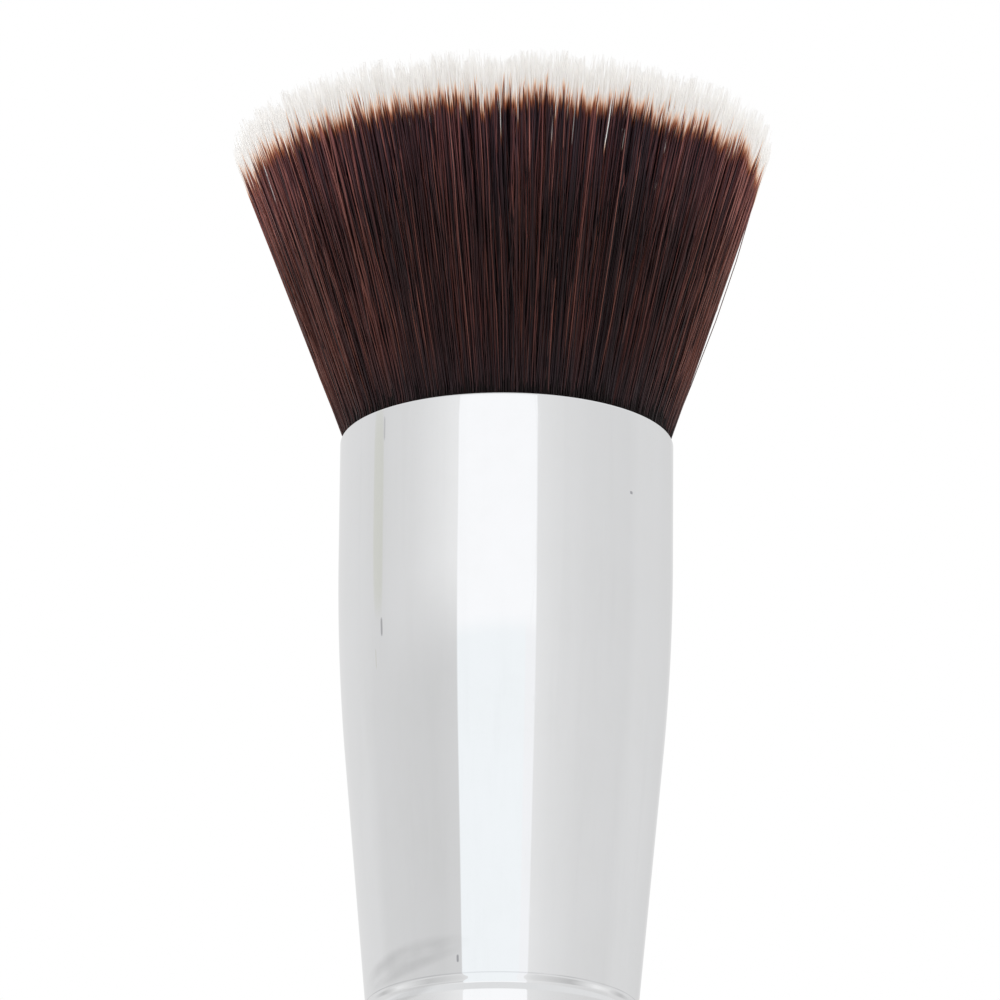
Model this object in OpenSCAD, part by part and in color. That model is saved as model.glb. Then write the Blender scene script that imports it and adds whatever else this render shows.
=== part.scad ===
// Flat-top kabuki makeup brush, standing on its handle, in millimetres.
// The origin is the middle of the flat base and +Z runs up the brush to its tips.

/* [Bristle head] */
// Length of the bristles that stands out of the ferrule
head_len = 22.6; // [16:0.1:32]
// Diameter across the bristle tips
head_d = 39.2; // [30:0.1:48]
// Rings of strands round the middle strand, the n-th ring holding 6n of them
strand_rings = 11; // [10:1:12]
// Least gap between neighbouring strands where they leave the ferrule
root_gap = 0.165; // [0.08:0.005:0.25]
// Least gap between neighbouring strands where their points begin
point_gap = 0.47; // [0.1:0.01:0.8]
// Length of a strand's point
strand_point = 2.2; // [1:0.1:3]
// Largest height by which a strand's point falls short of the flat top
ragged = 0.5; // [0:0.05:0.8]
// Turn of each ring of strands against the ring inside it, in degrees
ring_turn = 7.5; // [0:0.5:20]
// Glue left between the outermost strands and the ferrule
strand_edge = 0.1; // [0.05:0.01:0.2]

/* [Ferrule] */
// Outside diameter at the mouth
mouth_d = 24; // [20:0.1:29]
// Thickness of the metal
wall = 0.4; // [0.3:0.05:0.5]
// Length of the straight barrel below the mouth
barrel_len = 9; // [4:0.1:12]
// Length of the curve that leads from the barrel to the taper
blend_len = 14.5; // [6:0.1:18]
// Distance from the mouth to the upper crimp, where the taper ends
upper_crimp = 42.5; // [35:0.1:56]
// Outside diameter of the straight skirt below the taper
skirt_d = 19.2; // [16:0.1:19.8]
// Length of the skirt from the upper crimp to the lower edge
skirt_len = 9.5; // [7.9:0.1:14]
// Distance between the two crimps
crimp_pitch = 4.8; // [3:0.01:6]
// Width of a crimp along the brush
crimp_w = 1.2; // [0.9:0.01:1.6]
// Depth of a crimp
crimp_depth = 0.2; // [0.1:0.01:0.26]

/* [Glue plug] */
// Distance from the mouth down to the glue
glue_drop = 5; // [3:0.1:7]
// Depth of the filament roots that are set in glue
glue_depth = 13; // [10:0.1:16]
// Thickness of the slice of glue that the strands stand in
slice_t = 1.5; // [1:0.1:3]
// Thickness of the winding of thread round the roots
thread_t = 0.8; // [0.3:0.01:1]
// Height of the winding
thread_h = 3; // [1.5:0.1:4]
// Length of bare roots above and below the winding
thread_margin = 0.5; // [0.2:0.1:1]
// Space between the winding and the ferrule
thread_gap = 0.6; // [0.3:0.01:0.9]

/* [Handle] */
// Height of the handle from the base to the ferrule
handle_h = 42; // [35:0.1:60]
// Widest diameter of the handle
swell_d = 22.4; // [20:0.1:27]
// Height of the widest place above the base
swell_z = 9; // [6:0.1:12]
// Narrowest diameter of the handle
neck_d = 17.6; // [16:0.1:22]
// Distance of the narrowest place below the ferrule
neck_drop = 9; // [6:0.1:12]
// Diameter of the flat foot that the brush stands on
foot_d = 18.8; // [15.6:0.1:19.8]
// Radius of the small rounded edge under the ferrule
shoulder_round = 0.2; // [0.1:0.01:0.25]
// Length of the tenon above the upper crimp
tenon_above = 8.5; // [6:0.1:11]
// Height of the bevel at the tenon's end
tenon_bevel = 0.8; // [0.3:0.01:1.5]
// Thickness of the glue between the tenon and the skirt
tenon_glue = 0.12; // [0.05:0.01:0.2]
// Height that the tenon's glue reaches above the upper crimp
glue_above = 4.5; // [3:0.1:5.5]

/* [Base weight] */
// Width of the wooden ring round the cap, which carries the brush
foot_ring = 1.35; // [1.1:0.01:2]
// Width of the ledge that the cap lies against
cap_ledge = 1.6; // [1:0.01:3]
// Length of the steel weight
weight_len = 24; // [10:0.1:29]
// Bevel on both ends of the weight
weight_bevel = 0.4; // [0.2:0.01:0.8]
// Thickness of the cap
cap_t = 1.8; // [1:0.01:2.5]
// Distance that the cap lies above the base, clear of the table
cap_recess = 0.3; // [0.2:0.05:0.6]
// Air above the weight at the blind end of its bore
bore_end_gap = 0.2; // [0.1:0.05:0.5]

/* [Fits] */
// Radial clearance of the weight and of the cap in the wood
slip = 0.05; // [0.02:0.01:0.1]
// Hairline left between round faces that are bonded together
bond = 0.02; // [0.01:0.005:0.04]

/* [Hidden] */

// Fineness of the turned shapes
round_fn = 96;
blend_steps = 8;
crimp_steps = 10;
rim_steps = 6;
swell_steps = 12;
edge_steps = 6;

mouth_r = mouth_d / 2;
skirt_r = skirt_d / 2;
ferrule_len = upper_crimp + skirt_len;
mouth_z = handle_h + ferrule_len;
tip_z = mouth_z + head_len;
plug_end = glue_drop + glue_depth;
plug_z = mouth_z - plug_end;
cap_d = foot_d - 2 * foot_ring - 2 * slip;
weight_d = cap_d - 2 * cap_ledge;
weight_z = cap_recess + cap_t;
crimps = [upper_crimp, upper_crimp + crimp_pitch];

// The wall leaves the barrel on a parabola and goes on straight, down to the skirt's radius at the
// upper crimp. The straight part's slope follows from the lengths of the two parts.
blend_end = barrel_len + blend_len;
taper_slope = (mouth_r - skirt_r) / (upper_crimp - barrel_len - blend_len / 2);

// Outside radius of the ferrule without its crimps, at a depth below the mouth
function plain_r(depth) =
    depth <= barrel_len ? mouth_r
    : depth < blend_end ? mouth_r - taper_slope * pow(depth - barrel_len, 2) / (2 * blend_len)
    : depth < upper_crimp ? skirt_r + taper_slope * (upper_crimp - depth)
    : skirt_r;

// Depth of one crimp, a smooth wave that is deepest at the crimp's middle
function crimp_at(depth, middle) =
    abs(depth - middle) < crimp_w / 2
    ? crimp_depth * (1 + cos(360 * (depth - middle) / crimp_w)) / 2
    : 0;

// Outside radius of the ferrule with its crimps
function ferrule_r(depth) = plain_r(depth) - crimp_at(depth, crimps[0]) - crimp_at(depth, crimps[1]);

// Depths below the mouth at which the ferrule's outline has points
stations = concat(
    [barrel_len],
    [for (i = [1:blend_steps]) barrel_len + blend_len * i / blend_steps],
    [for (c = crimps) for (i = [0:crimp_steps]) c - crimp_w / 2 + crimp_w * i / crimp_steps]
);

// Points down the ferrule between two depths, moved in from its outside by an inset
function wall_points(from, to, inset) = concat(
    [[ferrule_r(from) - inset, mouth_z - from]],
    [for (d = stations) if (d > from && d < to) [ferrule_r(d) - inset, mouth_z - d]],
    [[ferrule_r(to) - inset, mouth_z - to]]
);

// A list of points in the opposite order
function turned(points) = [for (i = [len(points) - 1:-1:0]) points[i]];

// Radius of the tenon, which the crimps bite into, at a depth below the mouth
tenon_r = skirt_r - wall - tenon_glue;
function tenon_at(depth) = min(tenon_r, ferrule_r(depth) - wall - tenon_glue);
function tenon_points(from, to) = concat(
    [[tenon_at(from), mouth_z - from]],
    [for (d = stations) if (d > from && d < to) [tenon_at(d), mouth_z - d]],
    [[tenon_at(to), mouth_z - to]]
);

// Points of a smooth half wave from one radius and height to another
function wave_points(r0, z0, r1, z1) = [
    for (i = [1:swell_steps])
        [r0 + (r1 - r0) * (1 - cos(180 * i / swell_steps)) / 2, z0 + (z1 - z0) * i / swell_steps]
];

// Points of a quarter ellipse from the edge of the flat foot up to the widest place
function bulb_points(r0, r1, height) = [
    for (i = [0:swell_steps])
        let (a = 90 * i / swell_steps)
            [r0 + (r1 - r0) * sin(a), height * (1 - cos(a))]
];

// Bound end of the filament bundle
bound_r = ferrule_r(plug_end) - wall - thread_gap - thread_t;
bound_h = thread_h + 2 * thread_margin;

// Strands
bore_r = mouth_r - wall;
slice_z = mouth_z - glue_drop - slice_t;
root_z = slice_z + slice_t / 2;
tip_span = head_d / 2;
point_z = tip_z - strand_point;

// Corner radius of a three-sided strand in the ferrule, so that all rings with their gaps fill the glue.
// The outermost ring's middle is the span, which grows up to the tips.
root_r = (bore_r - bond - strand_edge - strand_rings * root_gap) / (2 * strand_rings + 1);
root_span = bore_r - bond - strand_edge - root_r;
point_span = root_span + (tip_span - root_span) * (point_z - mouth_z) / head_len;
point_r = (point_span / strand_rings - point_gap) / 2;

// Ring and place in the ring of each strand
strands = concat(
    [[0, 0]],
    [for (k = [1:strand_rings]) for (j = [0:6 * k - 1]) [k, j]]
);
function strand_share(s) = s[0] / strand_rings;
function strand_turn(s) = s[0] == 0 ? 0 : 60 * s[1] / s[0] + ring_turn * s[0];

// Shortfall of a strand's tip, repeated on the opposite side of the head so that the head stays centred
function strand_short(s) = ragged * (1 + sin(137.5 * (s[1] % max(1, 3 * s[0])) + 71 * s[0])) / 2;

// Three corners of a strand at a height
function corners(s, span, corner_r, z) = [
    for (a = [0, 120, 240])
        let (out = span * strand_share(s), t = strand_turn(s))
            [out * cos(t) + corner_r * cos(t + a), out * sin(t) + corner_r * sin(t + a), z]
];
function tip(s) =
    let (out = tip_span * strand_share(s), t = strand_turn(s))
        [out * cos(t), out * sin(t), tip_z - strand_short(s)];
function strand_points(s) = concat(
    corners(s, root_span, root_r, root_z),
    corners(s, root_span, root_r, mouth_z),
    corners(s, point_span, point_r, point_z),
    [tip(s)]
);

// Points and triangles of one strand
strand_size = 10;
side_faces = [
    for (ring = [0, 3]) for (i = [0:2])
        let (a = ring + i, b = ring + (i + 1) % 3)
            for (face = [[a, a + 3, b], [b, a + 3, b + 3]]) face
];
point_faces = [for (i = [0:2]) [6 + i, 9, 6 + (i + 1) % 3]];
strand_faces = concat([[0, 1, 2]], side_faces, point_faces);

// A tuft of strands that spread from the mouth to the flat top, fused to a slice of their glue
module bristles() {
    color("#3c241f")
    union() {
        translate([0, 0, slice_z])
            cylinder(r = bore_r - bond, h = slice_t, $fn = round_fn);
        polyhedron(
            points = [for (s = strands) for (p = strand_points(s)) p],
            faces = [for (n = [0:len(strands) - 1]) for (f = strand_faces) f + strand_size * n * [1, 1, 1]]
        );
    }
}

// Winding of thread round the bound end of the filaments
module root_thread() {
    color("#e9e2d2")
    translate([0, 0, plug_z + thread_margin])
        difference() {
            cylinder(r = bound_r + thread_t, h = thread_h, $fn = round_fn);
            translate([0, 0, -1])
                cylinder(r = bound_r + bond, h = thread_h + 2, $fn = round_fn);
        }
}

// Filament roots set in glue, which fill the ferrule above the bound end
module glue_plug() {
    from = glue_drop + slice_t;
    to = plug_end - bound_h;
    color("#c9a46a")
    rotate_extrude($fn = round_fn)
        polygon(concat(
            [[0, mouth_z - from]],
            wall_points(from, to, wall + bond),
            [[bound_r, mouth_z - to], [bound_r, plug_z], [0, plug_z]]
        ));
}

// Thin metal tube with a barrel, a long taper and two crimps in its skirt
module ferrule() {
    rim_r = wall / 2;
    color("#d9dcdf")
    rotate_extrude($fn = round_fn)
        polygon(concat(
            [for (i = [0:rim_steps])
                let (a = 180 * (1 - i / rim_steps))
                    [mouth_r - rim_r + rim_r * cos(a), mouth_z - rim_r + rim_r * sin(a)]],
            wall_points(rim_r, ferrule_len, 0),
            turned(wall_points(rim_r, ferrule_len, wall))
        ));
}

// Sleeve of glue between the tenon and the ferrule
module tenon_adhesive() {
    glue_from = upper_crimp - glue_above;
    color("#e6dcb8")
    rotate_extrude($fn = round_fn)
        polygon(concat(
            wall_points(glue_from, ferrule_len, wall + bond),
            turned([for (p = tenon_points(glue_from, ferrule_len)) [p[0] + bond, p[1]]])
        ));
}

// Turned and lacquered wooden handle with its tenon, and a bore for the weight
module handle() {
    shoulder_r = skirt_r;
    neck_z = handle_h - neck_drop;
    tenon_top = upper_crimp - tenon_above;
    color("#17171a")
    difference() {
        rotate_extrude($fn = round_fn)
            polygon(concat(
                [[0, 0]],
                bulb_points(foot_d / 2, swell_d / 2, swell_z),
                wave_points(swell_d / 2, swell_z, neck_d / 2, neck_z),
                wave_points(neck_d / 2, neck_z, shoulder_r, handle_h - shoulder_round),
                [for (i = [1:edge_steps])
                    let (a = 90 * i / edge_steps)
                        [shoulder_r + shoulder_round * (cos(a) - 1), handle_h + shoulder_round * (sin(a) - 1)]],
                turned(tenon_points(tenon_top + tenon_bevel, ferrule_len)),
                [[tenon_r - tenon_bevel, mouth_z - tenon_top], [0, mouth_z - tenon_top]]
            ));
        translate([0, 0, -1])
            cylinder(d = cap_d + 2 * slip, h = 1 + cap_recess + cap_t, $fn = round_fn);
        translate([0, 0, -1])
            cylinder(d = weight_d + 2 * slip, h = 1 + weight_z + weight_len + bore_end_gap, $fn = round_fn);
    }
}

// Steel slug that keeps the brush upright, resting on the cap
module base_weight() {
    color("#8f9499")
    translate([0, 0, weight_z])
        rotate_extrude($fn = round_fn)
            polygon([
                [0, 0],
                [weight_d / 2 - weight_bevel, 0],
                [weight_d / 2, weight_bevel],
                [weight_d / 2, weight_len - weight_bevel],
                [weight_d / 2 - weight_bevel, weight_len],
                [0, weight_len]
            ]);
}

// Disc that closes the bore in the base
module base_cap() {
    color("#232327")
    translate([0, 0, cap_recess])
        cylinder(d = cap_d, h = cap_t, $fn = round_fn);
}

bristles();
root_thread();
glue_plug();
ferrule();
tenon_adhesive();
handle();
base_weight();
base_cap();
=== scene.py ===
"""Looks of a flat-top kabuki makeup brush, built around its packed construction.

The construction is a fixed frame. Each sub-assembly below takes its place from that frame, builds its
meshes with numpy and dresses them in finishes made of shader nodes.
"""
import logging
import math
from dataclasses import dataclass, field, fields
from enum import Enum

import bpy
import numpy as np
from mathutils import Matrix, Vector


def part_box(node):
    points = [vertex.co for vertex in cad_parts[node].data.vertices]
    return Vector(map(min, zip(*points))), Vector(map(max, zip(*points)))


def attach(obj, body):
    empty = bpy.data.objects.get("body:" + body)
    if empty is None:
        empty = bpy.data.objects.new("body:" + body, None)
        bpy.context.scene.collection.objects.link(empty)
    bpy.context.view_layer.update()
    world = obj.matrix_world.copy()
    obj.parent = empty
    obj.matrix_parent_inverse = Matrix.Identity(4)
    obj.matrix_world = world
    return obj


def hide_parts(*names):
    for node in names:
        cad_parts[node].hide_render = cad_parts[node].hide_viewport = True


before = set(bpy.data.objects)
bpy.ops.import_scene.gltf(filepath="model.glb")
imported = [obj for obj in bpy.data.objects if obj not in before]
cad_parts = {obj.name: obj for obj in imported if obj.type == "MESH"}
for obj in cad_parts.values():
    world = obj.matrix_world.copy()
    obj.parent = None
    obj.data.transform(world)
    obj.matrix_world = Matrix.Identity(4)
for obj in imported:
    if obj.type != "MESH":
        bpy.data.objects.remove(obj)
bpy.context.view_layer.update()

MM = 0.001
STRAND_MAP = "OFBake"
GOLDEN_TURN = math.pi * (3 - math.sqrt(5))
TINY = 1e-9

Node = bpy.types.Node
Socket = bpy.types.NodeSocket
Mesh = bpy.types.Mesh
Material = bpy.types.Material
Array = np.ndarray
Random = np.random.Generator
Colour = tuple[float, float, float]
Source = Socket | Colour | float
Outline = tuple[Array, Array]

log = logging.getLogger("brush")


class Slot(Enum):
    """The record's material slots of the pieces made here."""

    FIBRE = "bristle_fibre"
    THREAD = "thread"
    GLUE = "glue"
    METAL = "ferrule_metal"
    LACQUER = "handle_lacquer"
    PLASTIC = "cap_plastic"


class Blend(Enum):
    """Ways to lay one colour over another."""

    MIX = "MIX"
    MULTIPLY = "MULTIPLY"


# Mesh making


def even_turns(count: int) -> Array:
    """Angles of even steps once round, in radians."""
    return np.arange(count) * 2 * np.pi / count


def quarter_turn(count: int) -> Array:
    """Angles of even steps through a quarter turn, with both its ends, in radians."""
    return np.linspace(0, np.pi / 2, count)


def fan(middle: int, ring: Array, flip: bool = False) -> Array:
    """Triangles from a middle vertex to each side of a ring, turned over if flip is true."""
    sides = [ring, np.roll(ring, -1)]
    return np.stack([np.full(len(ring), middle), *(sides[::-1] if flip else sides)], 1)


def write_mesh(name: str, points: Array, quads: Array, triangles: Array) -> Mesh:
    """Makes a smooth mesh from whole arrays.

    Args:
        name: Name of the mesh.
        points: Places of the vertices, n by 3, in metres.
        quads: Vertex numbers of the four-sided faces, n by 4.
        triangles: Vertex numbers of the three-sided faces, n by 3.

    Returns:
        The new mesh.
    """
    corners = np.concatenate([quads.ravel(), triangles.ravel()]).astype(np.int32)
    sides = np.concatenate([np.full(len(quads), 4), np.full(len(triangles), 3)])
    starts = np.concatenate([[0], np.cumsum(sides)[:-1]]).astype(np.int32)
    mesh = bpy.data.meshes.new(name)
    mesh.vertices.add(len(points))
    mesh.vertices.foreach_set("co", points.astype(np.float32).ravel())
    mesh.loops.add(len(corners))
    mesh.loops.foreach_set("vertex_index", corners)
    mesh.polygons.add(len(sides))
    mesh.polygons.foreach_set("loop_start", starts)
    mesh.update(calc_edges=True)
    mesh.shade_smooth()
    return mesh


def add_object(mesh: Mesh, material: Material) -> bpy.types.Object:
    """Puts a mesh with one material into the scene.

    Args:
        mesh: The mesh, with its place in its vertices.
        material: The material of all its faces.

    Returns:
        The new object, at the origin.
    """
    mesh.materials.append(material)
    made = bpy.data.objects.new(mesh.name, mesh)
    bpy.context.scene.collection.objects.link(made)
    return made


def add_piece(mesh: Mesh, material: Material, slot: Slot, *nodes: str) -> None:
    """Adds a piece of the brush that rides on it and stands for nodes of the frame.

    Args:
        mesh: The piece's mesh.
        material: Its material.
        slot: The record's slot that its finish comes from; not used.
        nodes: The nodes that it stands for.
    """
    piece = add_object(mesh, material)
    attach(piece, "root")
    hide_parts(*nodes)
    log.info("piece %s stands for %s, %d faces", piece.name, ", ".join(nodes), len(mesh.polygons))


def dress_node(name: str, material: Material) -> None:
    """Gives a node of the frame a material, and leaves its shape alone.

    Args:
        name: The node.
        material: Its new material.
    """
    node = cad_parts[name]
    node.data.materials.clear()
    node.data.materials.append(material)
    log.info("node %s wears %s", name, material.name)


def turned(name: str, outline: Outline, around: int, ring: bool = False) -> Mesh:
    """Turns an outline round the Z axis.

    A point lies at (r cos a, r sin a, z), where r and z are the outline's and a runs once round the axis.

    Args:
        name: Name of the mesh.
        outline: Distances from the axis and heights, going from below the shape, round its outside and to
            its top. The distances of a solid start and end at 0.
        around: Number of points round the axis.
        ring: True for an outline that closes on itself away from the axis, as a tube's wall does.

    Returns:
        A closed mesh whose faces point outwards.
    """
    turn = even_turns(around)
    r, z = outline if ring else (part[1:-1] for part in outline)
    x, y, up = np.outer(r, np.cos(turn)), np.outer(r, np.sin(turn)), np.outer(z, np.ones(around))
    points = np.stack([x, y, up], 2).reshape(-1, 3)
    row = np.arange(len(r) if ring else len(r) - 1)[:, None] * around
    above = (row + around) % len(points)
    here = np.arange(around)
    beside = np.roll(here, -1)
    quads = np.stack([row + here, row + beside, above + beside, above + here], 2).reshape(-1, 4)
    if ring:
        return write_mesh(name, points, quads, np.zeros((0, 3), int))
    foot = len(points)
    triangles = np.concatenate([fan(foot, here, flip=True), fan(foot + 1, foot - around + here)])
    poles = [[0, 0, outline[1][0]], [0, 0, outline[1][-1]]]
    return write_mesh(name, np.concatenate([points, poles]), quads, triangles)


def swept(name: str, path: Array, radius: float, sides: int) -> Mesh:
    """Carries a circle along a path that keeps clear of the vertical.

    Each ring lies in the plane of the path's sideways direction and the vertical, and both ends are closed.

    Args:
        name: Name of the mesh.
        path: Points along the middle, n by 3.
        radius: Radius of the tube.
        sides: Number of its sides.

    Returns:
        A closed mesh whose faces point outwards.
    """
    along = np.gradient(path, axis=0)
    along /= np.linalg.norm(along, axis=1)[:, None]
    sideways = np.cross(along, [0, 0, 1])
    sideways /= np.linalg.norm(sideways, axis=1)[:, None]
    upwards = np.cross(sideways, along)
    turn = even_turns(sides)[:, None]
    ring = np.cos(turn) * sideways[:, None] + np.sin(turn) * upwards[:, None]
    points = (path[:, None] + radius * ring).reshape(-1, 3)
    row = np.arange(len(path) - 1)[:, None] * sides
    here = np.arange(sides)
    beside = np.roll(here, -1)
    quads = np.stack([row + beside, row + here, row + sides + here, row + sides + beside], 2).reshape(-1, 4)
    start = len(points)
    triangles = np.concatenate([fan(start, here), fan(start + 1, start - sides + here, flip=True)])
    return write_mesh(name, np.concatenate([points, path[:1], path[-1:]]), quads, triangles)


# Shader node making


class NodeSheet:
    """A node tree with short ways to add and join nodes."""

    def __init__(self, tree: bpy.types.NodeTree) -> None:
        """Takes over a node tree."""
        self.tree = tree

    @classmethod
    def emptied(cls, owner: Material | bpy.types.World) -> "NodeSheet":
        """Empties the node tree of a material or a world.

        Args:
            owner: The material or the world.

        Returns:
            The tree's sheet.
        """
        owner.use_nodes = True
        owner.node_tree.nodes.clear()
        return cls(owner.node_tree)

    def feed(self, socket: Socket, source: Source) -> None:
        """Gives a socket a link or a plain value.

        Args:
            socket: The input.
            source: An output socket, a number, or a colour or vector.
        """
        if isinstance(source, Socket):
            self.tree.links.new(source, socket)
        elif isinstance(source, tuple) and socket.type == "RGBA":
            socket.default_value = (*source, 1.0)
        else:
            socket.default_value = source

    def add(self, kind: str, *sources: Source, **settings: object) -> Node:
        """Adds a node.

        Args:
            kind: The node's type.
            sources: What its first inputs get, in order.
            settings: Values for its own settings.

        Returns:
            The node.
        """
        node = self.tree.nodes.new(kind)
        for name, value in settings.items():
            setattr(node, name, value)
        for socket, source in zip(node.inputs, sources):
            self.feed(socket, source)
        return node

    def wire(self, node: Node, **sources: Source) -> Node:
        """Feeds inputs of a node by name.

        Args:
            node: The node.
            sources: What each input gets, by its name with underscores for spaces.

        Returns:
            The node.
        """
        for name, source in sources.items():
            self.feed(node.inputs[name.replace("_", " ")], source)
        return node

    def maths(self, operation: str, *terms: Source, clamp: bool = False) -> Socket:
        """The result of a Math node, held between 0 and 1 if clamp is true."""
        return self.add("ShaderNodeMath", *terms, operation=operation, use_clamp=clamp).outputs[0]

    def summed(self, start: Source, *parts: tuple[Source, float]) -> Source:
        """Adds weighted parts to a start.

        Args:
            start: What the parts are added to.
            parts: Each part and its weight.

        Returns:
            The sum.
        """
        for part, weight in parts:
            start = self.maths("ADD", start, self.maths("MULTIPLY", part, weight))
        return start

    def apart(self, place: Source, other: Source) -> Socket:
        """The distance between two numbers."""
        return self.maths("ABSOLUTE", self.maths("SUBTRACT", place, other))

    def mixed(self, share: Source, below: Source, above: Source, blend: Blend = Blend.MIX) -> Socket:
        """Lays one colour over another.

        Args:
            share: How much of the upper colour is laid on.
            below: The lower colour.
            above: The upper colour.
            blend: How it is laid on.

        Returns:
            The colour.
        """
        node = self.add("ShaderNodeMix", share, data_type="RGBA", blend_type=blend.value)
        lower, upper = [socket for socket in node.inputs if socket.type == "RGBA"]
        self.feed(lower, below)
        self.feed(upper, above)
        return next(socket for socket in node.outputs if socket.type == "RGBA")

    def ramp(self, source: Source, stops: dict[float, Colour | float]) -> Socket:
        """Picks a colour from a ramp.

        Args:
            source: The number that picks the colour.
            stops: Colours, or grey levels, by their place from 0 to 1.

        Returns:
            The colour.
        """
        node = self.add("ShaderNodeValToRGB", source)
        elements = node.color_ramp.elements
        while len(elements) < len(stops):
            elements.new(0.5)
        for element, (place, colour) in zip(elements, sorted(stops.items())):
            element.position = place
            element.color = (*colour, 1.0) if isinstance(colour, tuple) else (colour, colour, colour, 1.0)
        return node.outputs[0]

    def step(self, source: Source, low: float, high: float) -> Socket:
        """Rises softly from 0 at low to 1 at high, or falls if low is above high."""
        return self.add("ShaderNodeMapRange", source, low, high, interpolation_type="SMOOTHSTEP").outputs[0]

    def noise(self, vector: Source, scale: Source, detail: float = 2.0, rough: float = 0.5) -> Socket:
        """Adds a noise from 0 to 1.

        Args:
            vector: Where it is read.
            scale: Its fineness.
            detail: Number of its octaves.
            rough: Strength of the finer octaves.

        Returns:
            The noise.
        """
        node = self.add("ShaderNodeTexNoise")
        return self.wire(node, Vector=vector, Scale=scale, Detail=detail, Roughness=rough).outputs[0]

    def cells(self, vector: Source, scale: Source) -> Node:
        """A pattern of cells round scattered points."""
        return self.wire(self.add("ShaderNodeTexVoronoi", feature="F1"), Vector=vector, Scale=scale)

    def stretched(self, vector: Source, scale: Colour) -> Socket:
        """A vector scaled along X, Y and Z."""
        return self.add("ShaderNodeVectorMath", vector, scale, operation="MULTIPLY").outputs[0]

    def bumped(self, height: Source, depth: float, share: float) -> Socket:
        """The normal of a surface whose height of 1 is a depth in metres, at a share of its strength."""
        node = self.add("ShaderNodeBump")
        return self.wire(node, Height=height, Distance=depth, Strength=share).outputs[0]

    def own_place(self) -> Socket:
        """The place on the piece, in metres."""
        return self.add("ShaderNodeTexCoord").outputs["Object"]


class Effect:
    """A shader node group that several materials share, built once."""

    name = "effect"
    inputs: tuple[str, ...] = ("Vector", "Scale", "Cover")
    outputs: tuple[str, ...] = ("Mask",)

    @classmethod
    def group(cls) -> bpy.types.NodeTree:
        """Makes or finds the group.

        Returns:
            The node group.
        """
        tree = bpy.data.node_groups.get(cls.name)
        if tree is None:
            tree = bpy.data.node_groups.new(cls.name, "ShaderNodeTree")
            for way, names in (("INPUT", cls.inputs), ("OUTPUT", cls.outputs)):
                for name in names:
                    kind = "NodeSocketVector" if name == "Vector" else "NodeSocketFloat"
                    tree.interface.new_socket(name=name, in_out=way, socket_type=kind)
            sheet = NodeSheet(tree)
            given = sheet.add("NodeGroupInput")
            sheet.add("NodeGroupOutput", *cls.draw(sheet, *(given.outputs[name] for name in cls.inputs)))
        return tree

    @classmethod
    def draw(cls, sheet: NodeSheet, *given: Socket) -> tuple[Socket, ...]:
        """Fills the group, from its inputs to its outputs, in the order of their names."""
        raise NotImplementedError

    @classmethod
    def place(cls, sheet: NodeSheet, **values: Source) -> Node:
        """Adds the group to a material, with links or plain values for its inputs."""
        return sheet.wire(sheet.add("ShaderNodeGroup", node_tree=cls.group()), **values)

    @classmethod
    def mask(cls, sheet: NodeSheet, **values: Source) -> Socket:
        """The mask of the group, placed in a material."""
        return cls.place(sheet, **values).outputs["Mask"]


class Smudges(Effect):
    """Cloudy handling marks: a soft mask that a finer noise breaks up."""

    name = "handling smudges"
    finer = 7.0
    threshold = 0.8
    lowered = 0.5
    steepness = 5.0

    @classmethod
    def draw(cls, sheet: NodeSheet, *given: Socket) -> tuple[Socket, ...]:
        """Multiplies a coarse noise over a threshold, which the cover lowers, by a finer noise."""
        vector, scale, cover = given
        coarse = sheet.noise(vector, scale, 3.0, 0.55)
        fine = sheet.noise(vector, sheet.maths("MULTIPLY", scale, cls.finer), 4.0, 0.6)
        threshold = sheet.maths("SUBTRACT", cls.threshold, sheet.maths("MULTIPLY", cover, cls.lowered))
        above = sheet.maths("SUBTRACT", coarse, threshold)
        above = sheet.maths("MULTIPLY", above, cls.steepness, clamp=True)
        return (sheet.maths("MULTIPLY", above, fine, clamp=True),)


class Scratches(Effect):
    """Hairline scratches: the thin lines where a drawn-out noise crosses its middle."""

    name = "hairline scratches"
    thinness = 90.0
    patch_scale = 0.23

    @classmethod
    def draw(cls, sheet: NodeSheet, *given: Socket) -> tuple[Socket, ...]:
        """Keeps the lines where a coarse noise is high, which the cover widens."""
        vector, scale, cover = given
        off = sheet.apart(sheet.noise(vector, scale, 2.0, 0.6), 0.5)
        line = sheet.maths("SUBTRACT", 1.0, sheet.maths("MULTIPLY", off, cls.thinness), clamp=True)
        patch = sheet.noise(vector, sheet.maths("MULTIPLY", scale, cls.patch_scale), 1.0)
        shown = sheet.maths("GREATER_THAN", patch, sheet.maths("SUBTRACT", 1.0, cover))
        return (sheet.maths("MULTIPLY", line, shown),)


class Dust(Effect):
    """Fine specks of dust: small dots round scattered points."""

    name = "dust specks"
    dot_r = 0.12

    @classmethod
    def draw(cls, sheet: NodeSheet, *given: Socket) -> tuple[Socket, ...]:
        """Keeps a dot at the middle of as many cells of a scattered pattern as the cover says."""
        vector, scale, cover = given
        cells = sheet.cells(vector, scale)
        dot = sheet.maths("LESS_THAN", cells.outputs["Distance"], cls.dot_r)
        pick = sheet.add("ShaderNodeSeparateColor", cells.outputs["Color"]).outputs[0]
        return (sheet.maths("MULTIPLY", dot, sheet.maths("LESS_THAN", pick, cover)),)


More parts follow.
